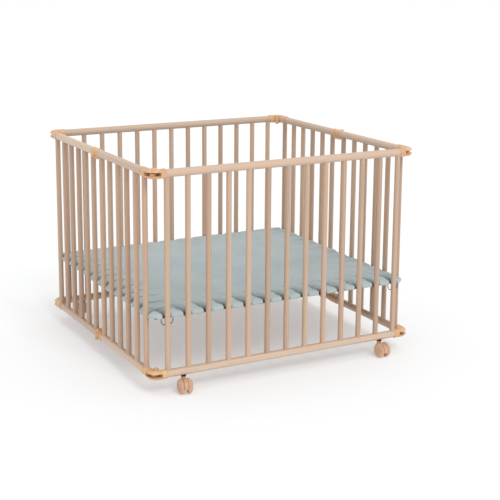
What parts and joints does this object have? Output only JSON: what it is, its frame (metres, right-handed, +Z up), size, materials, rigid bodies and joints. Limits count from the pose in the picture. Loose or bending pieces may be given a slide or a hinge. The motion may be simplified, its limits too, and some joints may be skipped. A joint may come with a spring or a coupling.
{
  "type": "playpen",
  "caption": "Folding wooden playpen of round rails and upright bars, with hinged side halves, a raised padded floor mat on boards and twin-wheel castors.",
  "frame": {"origin": "on the ground under the middle of the playpen", "axes": "+X to the right along the front panel, +Y from the front panel to the back panel, +Z up"},
  "size_m": [1.014, 1.0044, 0.7355],
  "materials": {
    "beech": "satin",
    "tan_plastic": "satin",
    "dark_steel": "satin",
    "mat_fabric": "matte",
    "hardboard": "matte",
    "tie_tape": "matte"
  },
  "bodies": {
    "front_panel": {"front_top_rail": "beech", "front_bottom_rail": "beech", "front_bars": "beech", "front_left_elbows": "tan_plastic", "front_right_elbows": "tan_plastic", "front_hinge_pins": "tan_plastic", "front_castor_stems": "dark_steel", "front_floor_pegs": "beech"},
    "back_panel": {"back_top_rail": "beech", "back_bottom_rail": "beech", "back_bars": "beech", "back_left_elbows": "tan_plastic", "back_right_elbows": "tan_plastic", "back_hinge_pins": "tan_plastic", "back_castor_stems": "dark_steel", "back_floor_pegs": "beech"},
    "left_front_half": {"left_front_top_rail": "beech", "left_front_bottom_rail": "beech", "left_front_bars": "beech", "left_front_corner_tongues": "tan_plastic", "left_front_middle_knuckles": "tan_plastic", "left_middle_pins": "tan_plastic"},
    "left_back_half": {"left_back_top_rail": "beech", "left_back_bottom_rail": "beech", "left_back_bars": "beech", "left_back_corner_tongues": "tan_plastic", "left_back_middle_knuckles": "tan_plastic"},
    "right_front_half": {"right_front_top_rail": "beech", "right_front_bottom_rail": "beech", "right_front_bars": "beech", "right_front_corner_tongues": "tan_plastic", "right_front_middle_knuckles": "tan_plastic", "right_middle_pins": "tan_plastic"},
    "right_back_half": {"right_back_top_rail": "beech", "right_back_bottom_rail": "beech", "right_back_bars": "beech", "right_back_corner_tongues": "tan_plastic", "right_back_middle_knuckles": "tan_plastic"},
    "castor_front_left": {"castor_front_left_hood": "tan_plastic", "castor_front_left_axle": "dark_steel"},
    "wheels_front_left": {"castor_front_left_wheels": "tan_plastic"},
    "castor_front_right": {"castor_front_right_hood": "tan_plastic", "castor_front_right_axle": "dark_steel"},
    "wheels_front_right": {"castor_front_right_wheels": "tan_plastic"},
    "castor_back_left": {"castor_back_left_hood": "tan_plastic", "castor_back_left_axle": "dark_steel"},
    "wheels_back_left": {"castor_back_left_wheels": "tan_plastic"},
    "castor_back_right": {"castor_back_right_hood": "tan_plastic", "castor_back_right_axle": "dark_steel"},
    "wheels_back_right": {"castor_back_right_wheels": "tan_plastic"},
    "floor": {"floor_mat": "mat_fabric", "floor_board_front": "hardboard", "floor_board_back": "hardboard", "tie_front_left": "tie_tape", "tie_front_right": "tie_tape", "tie_back_left": "tie_tape", "tie_back_right": "tie_tape"}
  },
  "joints": [
    {"name": "fold", "type": "hinge", "parent": "front_panel", "child": "left_front_half", "pos_m": [-0.469, -0.439, 0.4], "axis": [0, 0, -1], "range_deg": [0, 90], "deforming": ["floor_mat", "floor_board_front", "floor_board_back", "tie_front_left", "tie_front_right", "tie_back_left", "tie_back_right"]},
    {"name": "left_middle_fold", "type": "hinge", "parent": "left_front_half", "child": "left_back_half", "pos_m": [-0.501, 0, 0.4], "axis": [0, 0, -1], "range_deg": [-180, 0]},
    {"name": "back_panel_fold", "type": "hinge", "parent": "left_back_half", "child": "back_panel", "pos_m": [-0.469, 0.439, 0.4], "axis": [0, 0, -1], "range_deg": [0, 90]},
    {"name": "right_front_fold", "type": "hinge", "parent": "front_panel", "child": "right_front_half", "pos_m": [0.469, -0.439, 0.4], "axis": [0, 0, -1], "range_deg": [-90, 0]},
    {"name": "right_middle_fold", "type": "hinge", "parent": "right_front_half", "child": "right_back_half", "pos_m": [0.501, 0, 0.4], "axis": [0, 0, -1], "range_deg": [0, 180]},
    {"name": "floor_lift", "type": "slide", "parent": "front_panel", "child": "floor", "axis": [0, 0, 1], "range_m": [0, 0.4]},
    {"name": "castor_front_left_swivel", "type": "hinge", "parent": "front_panel", "child": "castor_front_left", "pos_m": [-0.38, -0.455, 0.05], "axis": [0, 0, 1], "continuous": true},
    {"name": "castor_front_left_roll", "type": "hinge", "parent": "castor_front_left", "child": "wheels_front_left", "pos_m": [-0.38382, -0.47463, 0.025], "axis": [0.9816, -0.1908, 0], "continuous": true},
    {"name": "castor_front_right_swivel", "type": "hinge", "parent": "front_panel", "child": "castor_front_right", "pos_m": [0.38, -0.455, 0.05], "axis": [0, 0, 1], "continuous": true},
    {"name": "castor_front_right_roll", "type": "hinge", "parent": "castor_front_right", "child": "wheels_front_right", "pos_m": [0.3807, -0.47499, 0.025], "axis": [0.9994, 0.0349, 0], "continuous": true},
    {"name": "castor_back_left_swivel", "type": "hinge", "parent": "back_panel", "child": "castor_back_left", "pos_m": [-0.38, 0.455, 0.05], "axis": [0, 0, 1], "continuous": true},
    {"name": "castor_back_left_roll", "type": "hinge", "parent": "castor_back_left", "child": "wheels_back_left", "pos_m": [-0.38382, 0.47463, 0.025], "axis": [0.9816, 0.1908, 0], "continuous": true},
    {"name": "castor_back_right_swivel", "type": "hinge", "parent": "back_panel", "child": "castor_back_right", "pos_m": [0.38, 0.455, 0.05], "axis": [0, 0, 1], "continuous": true},
    {"name": "castor_back_right_roll", "type": "hinge", "parent": "castor_back_right", "child": "wheels_back_right", "pos_m": [0.3807, 0.47499, 0.025], "axis": [0.9994, -0.0349, 0], "continuous": true}
  ],
  "couplings": [
    {"joint": "left_middle_fold", "follows": "fold", "ratio": -2},
    {"joint": "back_panel_fold", "follows": "fold", "ratio": 1},
    {"joint": "right_front_fold", "follows": "fold", "ratio": -1},
    {"joint": "right_middle_fold", "follows": "fold", "ratio": 2}
  ]
}
